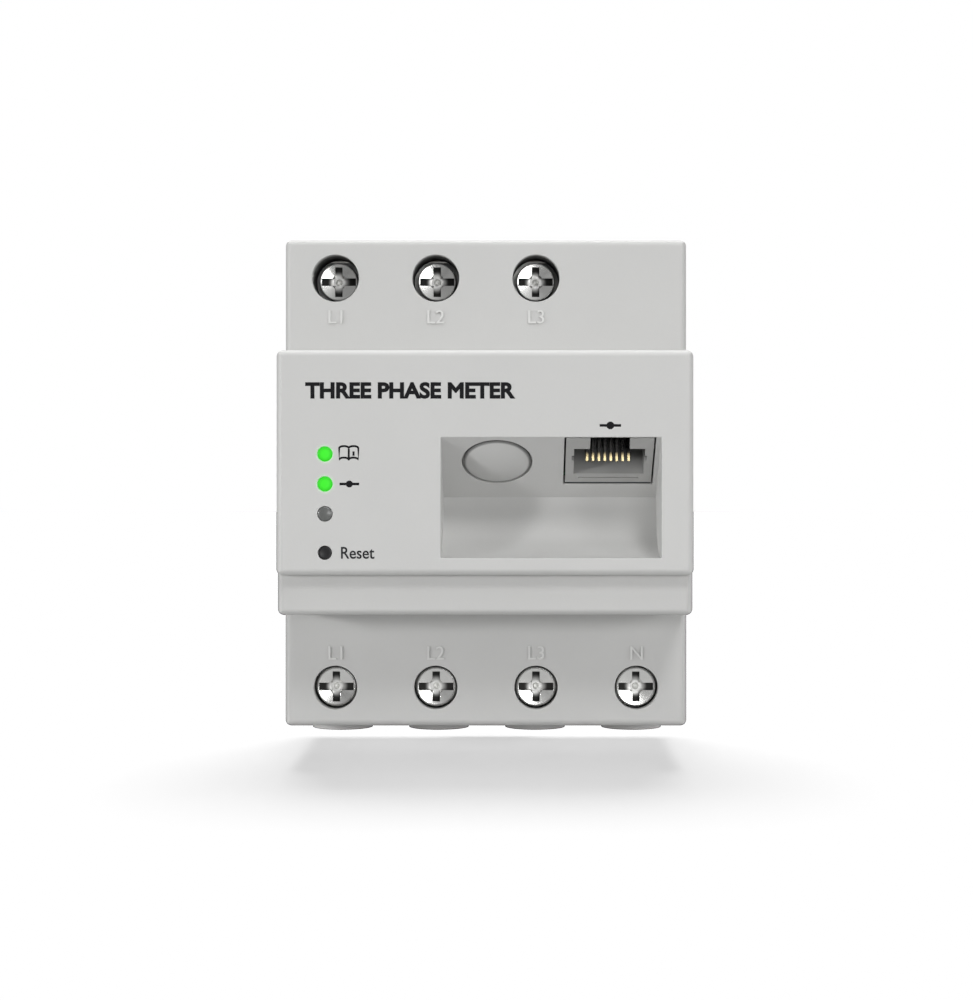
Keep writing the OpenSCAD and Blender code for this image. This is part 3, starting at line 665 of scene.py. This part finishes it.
def terminal_screw(row, phase):
    """Head with its recess, and the shank turned down to the root of the thread."""
    node = f"{row}_screw_{phase}"
    piece = softened(node, 0.1 * MM)
    centre = middle(node)
    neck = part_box(node)[0].y + 2.6 * MM
    for v in piece.data.vertices:
        reach = Vector((v.co.x - centre.x, v.co.z - centre.z))
        if v.co.y > neck and reach.length > 2.2 * MM:
            reach *= 2.05 * MM / reach.length
            v.co.x, v.co.z = centre.x + reach.x, centre.z + reach.y
    piece.data.update()
    screw_thread(row, phase)


def latch_spring():
    """A coil of wire that stands for the latch spring."""
    low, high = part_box("latch_spring")
    centre = middle("latch_spring")
    wire = 0.25 * MM
    radius = breadth("latch_spring") / 2 - wire
    turns = 6
    steps = 24 * turns
    bm = bmesh.new()
    ring = bmesh.ops.create_circle(bm, cap_ends=True, segments=10, radius=wire)
    bmesh.ops.rotate(bm, verts=ring["verts"], matrix=Matrix.Rotation(math.radians(90), 3, "X"))
    bmesh.ops.translate(bm, verts=ring["verts"], vec=(centre.x + radius, centre.y, low.z + wire))
    rise = (high.z - low.z - 2 * wire) / steps
    bmesh.ops.spin(
        bm, geom=bm.verts[:] + bm.edges[:] + bm.faces[:], cent=(centre.x, centre.y, 0), axis=(0, 0, 1),
        dvec=(0, 0, rise), angle=2 * math.pi * turns, steps=steps,
    )
    bmesh.ops.recalc_face_normals(bm, faces=bm.faces)
    piece = add_mesh("latch_spring_shape", bm)
    finish_piece(piece, "spring_steel", "meter", replaces=["latch_spring"])
    slide = next(j for j in record["behaviour"]["joints"] if j["name"] == "latch_slide")
    keep = 1 - slide["range_m"][1] / (high.z - low.z)
    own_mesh(piece)


# ---- lettering and symbols ----

def upright(piece, x, y, z):
    """Stands a flat shape up on a face that looks to the front."""
    piece.data.transform(Matrix.Translation((x, y, z)) @ Matrix.Rotation(math.radians(90), 4, "X"))


def as_mesh(name, curve_data):
    """A text or curve as a mesh object at the origin."""
    carrier = bpy.data.objects.new(name + "_curve", curve_data)
    bpy.context.scene.collection.objects.link(carrier)
    bpy.context.view_layer.update()
    shape = carrier.evaluated_get(bpy.context.evaluated_depsgraph_get())
    mesh = bpy.data.meshes.new_from_object(shape)
    mesh.name = name
    bpy.data.objects.remove(carrier)
    piece = bpy.data.objects.new(name, mesh)
    bpy.context.scene.collection.objects.link(piece)
    return piece


def words(name, text, height, thickness, weight=0.0, width=None):
    """Lettering of a given capital height, flat, with its lower left corner at the origin."""
    font = bpy.data.curves.new(name, "FONT")
    font.body = text
    font.size = 1
    font.extrude = 0.05
    font.bevel_depth = weight
    font.bevel_resolution = 1
    font.resolution_u = 6
    piece = as_mesh(name, font)
    verts = piece.data.vertices
    low = Vector([min(v.co[i] for v in verts) for i in range(3)])
    high = Vector([max(v.co[i] for v in verts) for i in range(3)])
    scale = height / (high.y - low.y)
    across = width / (high.x - low.x) if width else scale
    deep = thickness / (high.z - low.z)
    piece.data.transform(Matrix.Diagonal((across, scale, deep, 1)) @ Matrix.Translation(-low))
    return piece


def stroke(name, points, width, thickness, closed=False):
    """A printed line of one width through points (x, z)."""
    curve = bpy.data.curves.new(name, "CURVE")
    curve.dimensions = "3D"
    curve.bevel_depth = width / 2
    curve.bevel_resolution = 2
    curve.use_fill_caps = True
    spline = curve.splines.new("POLY")
    spline.points.add(len(points) - 1)
    for point, (x, z) in zip(spline.points, points):
        point.co = (x, z, 0, 1)
    spline.use_cyclic_u = closed
    piece = as_mesh(name, curve)
    piece.data.transform(Matrix.Diagonal((1, 1, thickness / width, 1)))
    return piece


def arc(x, z, rx, rz, start, end, count=10):
    angles = [math.radians(start + (end - start) * i / count) for i in range(count + 1)]
    return [(x + rx * math.cos(a), z + rz * math.sin(a)) for a in angles]


PRINT = 0.03 * MM
SYMBOL_GAP = 4.0 * MM


def printed(piece, x, z, paint=INK):
    """Lays a flat shape on the plate's front."""
    upright(piece, x, PLATE_FRONT, z)
    return finish_piece(piece, "plate_plastic", "meter", paint)


def title():
    piece = words("title_print", "THREE PHASE METER", 2.8 * MM, PRINT, weight=0.042, width=35.2 * MM)
    printed(piece, plate_low.x + 4.9 * MM, plate_high.z - 8.2 * MM)


def reset_label():
    button = middle("reset_button")
    piece = words("reset_print", "Reset", 2.0 * MM, PRINT, weight=0.012, width=5.6 * MM)
    printed(piece, button.x + 2.7 * MM, button.z - 1.0 * MM, GREY_INK)


def manual_symbol():
    """An open book: see the instructions."""
    lamp = middle("light_guide_top")
    page, height, line = 1.6 * MM, 2.1 * MM, 0.34 * MM
    foot, head = -0.5 * height, 0.42 * height
    left, right = [arc(x, 0.1 * MM, page / 2, 0.35 * MM, 180, 0) for x in (-page / 2, page / 2)]
    pages = left + right[1:]
    low = [(x, z + foot) for x, z in pages]
    high = [(x, z + head) for x, z in pages]
    pieces = [
        stroke("book_outline", low + high[::-1], line, PRINT, closed=True),
        stroke("book_spine", [(0, foot), (0, head)], line, PRINT),
        stroke("book_letter", [(page / 2, -0.3 * MM), (page / 2, 0.45 * MM)], 0.36 * MM, PRINT),
    ]
    for piece in pieces:
        printed(piece, lamp.x + SYMBOL_GAP, lamp.z)


def network_symbol(name, x, z, length, dot):
    """A line with a round node on it."""
    line = stroke(name + "_line", [(-length / 2, 0), (length / 2, 0)], 0.44 * MM, PRINT)
    ring = arc(0, 0, dot / 4, dot / 4, 0, 324, 9)
    printed(line, x, z)
    printed(stroke(name + "_node", ring, dot / 2, PRINT, closed=True), x, z)


def terminal_labels():
    """Embossed terminal names: below the upper screws and above the lower ones."""
    levels = {"top": SCREW_Z - 7.9 * MM, "bottom": -SCREW_Z + 4.9 * MM}
    for row, phases in ROWS.items():
        for phase in phases:
            piece = words(f"{row}_{phase}_mark", phase.upper(), 2.3 * MM, 0.3 * MM)
            wide = max(v.co.x for v in piece.data.vertices)
            x = middle(f"{row}_screw_{phase}").x
            upright(piece, x - wide / 2, SHOULDER_FRONT + 0.02 * MM, levels[row])
            finish_piece(piece, "housing_plastic", "meter", RAISED_MARK_HIGHLIGHT)


# ---- putting it together ----

def dress_nodes():
    """Every CAD node that stays gets the finish of its slot."""
    for node, piece in frame["nodes"].items():
        piece.data.materials.clear()
        piece.data.materials.append(FINISHES[SLOT_OF[node]].material)


# How wide the rounding of each moulding's sharp edges is, in millimetres
EDGES = {
    "front_housing": 0.25,
    "face_plate": 0.25,
    "rear_base": 0.2,
    "top_terminal_block": 0.15,
    "bottom_terminal_block": 0.15,
    "rail_latch": 0.2,
    "network_jack": 0.12,
    "port_blanking_plug": 0.12,
}


def mouldings():
    for node, width in EDGES.items():
        softened(node, width * MM)
    plug = bpy.data.objects["port_blanking_plug_shape"]
    plug.data.materials[0] = PLUG.material


def markings():
    title()
    reset_label()
    manual_symbol()
    lamp = middle("light_guide_middle")
    network_symbol("network_mark", lamp.x + 4.1 * MM, lamp.z, 3.3 * MM, 1.2 * MM)
    network_symbol("socket_mark", SOCKET_SEAT.x - 0.05 * MM, 9.64 * MM, 3.6 * MM, 1.35 * MM)
    terminal_labels()


def build():
    dress_nodes()
    mouldings()
    for name in ("top", "middle", "bottom"):
        light_guide("light_guide_" + name)
    reset_button()
    for row, phases in ROWS.items():
        for phase in phases:
            terminal_screw(row, phase)
    latch_spring()
    markings()


# ---- floor, light and camera ----

def floor():
    bpy.ops.mesh.primitive_plane_add(size=6, location=(0, 0, -50 * MM))
    plane = bpy.context.object
    plane.name = "floor"
    paint = Paint("floor_paint", Roughness=0.9, Specular_IOR_Level=0.1)
    dapple = paint.noise(200 * MM, 2)
    paint.feed("Base Color", paint.blend(dapple, (0.33, 0.33, 0.33), (0.37, 0.37, 0.37)))
    plane.data.materials.append(paint.material)
    plane.is_shadow_catcher = True


def soft_light(name, place, aim, power, size):
    data = bpy.data.lights.new(name, "AREA")
    data.energy = power
    data.shape = "DISK"
    data.size = size
    lamp = bpy.data.objects.new(name, data)
    lamp.location = place
    lamp.rotation_euler = (Vector(aim) - Vector(place)).to_track_quat("-Z", "Y").to_euler()
    bpy.context.scene.collection.objects.link(lamp)
    return lamp


# The lights in front of the meter: place, power and size
FRONT_LIGHTS = {
    "key": ((-0.95, -0.80, 0.15), 4.2, 0.15),
    "side_key": ((-1.2, -0.40, 0.25), 2.8, 0.3),
    "fill": ((0.85, -0.85, 0.15), 1.9, 0.3),
    "side_fill": ((1.2, -0.40, 0.25), 1.2, 0.3),
    "high_fill": ((0.3, -0.80, 0.9), 4.2, 0.3),
    "high_key": ((-0.1, -0.50, 1.2), 2.8, 0.4),
    "front": ((0.3, -1.3, -0.05), 4.0, 0.5),
}


def studio():
    floor()
    aim = (0, PLATE_FRONT, 0)
    body_lights = [
        soft_light(name, place, aim, power, size)
        for name, (place, power, size) in FRONT_LIGHTS.items()
    ]
    soft_light("overhead", (0, 0.35, 1.0), (0, 0, 0), 8, 0.8)
    floor_lift = soft_light("floor_lift", (0, 0, 1.0), (0, 0, 0), 11, 0.8)
    floor_lift.data.use_shadow = False
    link_floor([floor_lift], "INCLUDE")
    link_floor(body_lights, "EXCLUDE")
    sky()
    bpy.context.scene.view_settings.view_transform = "Standard"


def link_floor(lamps, state):
    """These lights reach only the floor (INCLUDE), or everything but the floor (EXCLUDE)."""
    floor_only = bpy.data.collections.new("floor_" + state.lower())
    floor_only.objects.link(bpy.data.objects["floor"])
    floor_only.collection_objects[0].light_linking.link_state = state
    for lamp in lamps:
        lamp.light_linking.receiver_collection = floor_only


def sky():
    """White behind the meter, dim light all round, and a one-sided room for the metal to mirror."""
    world = bpy.data.worlds.new("studio")
    bpy.context.scene.world = world
    world.use_nodes = True
    out = world.node_tree.nodes["World Output"]
    world.node_tree.nodes.remove(world.node_tree.nodes["Background"])
    air = Nodes(world.node_tree)

    def glow(tone, strength):
        inputs = {"Color": (tone, tone, tone, 1), "Strength": strength}
        return air.node("ShaderNodeBackground", inputs=inputs)

    toward = air.node("ShaderNodeTexCoord", out="Generated")
    dot = {"operation": "DOT_PRODUCT"}
    side = air.node("ShaderNodeVectorMath", dot, {0: toward, 1: (0.9, 0, -0.43)}, out="Value")
    limits = {"Value": side, "From Min": -0.22, "From Max": 0.2, "To Min": 0.3, "To Max": 1.15}
    room = glow(0.8, air.node("ShaderNodeMapRange", inputs=limits))
    glossy = air.node("ShaderNodeLightPath", out="Is Glossy Ray")
    seen = air.node("ShaderNodeLightPath", out="Is Camera Ray")
    mirrored = air.node("ShaderNodeMixShader", inputs={0: glossy, 1: glow(1, 0.06), 2: room})
    surface = air.node("ShaderNodeMixShader", inputs={0: seen, 1: mirrored, 2: glow(1, 1)})
    air.join(surface, out.inputs["Surface"])


def camera():
    data = bpy.data.cameras.new("camera")
    data.lens = 77.4
    data.shift_x = -0.0235
    data.shift_y = -0.020
    data.clip_start = 0.01
    data.clip_end = 20
    view = bpy.data.objects.new("camera", data)
    view.location = (4.2 * MM, PLATE_FRONT - 360 * MM, 0.5 * MM)
    view.rotation_euler = (math.radians(90), 0, 0)
    bpy.context.scene.collection.objects.link(view)
    bpy.context.scene.camera = view


camera()
studio()
build()
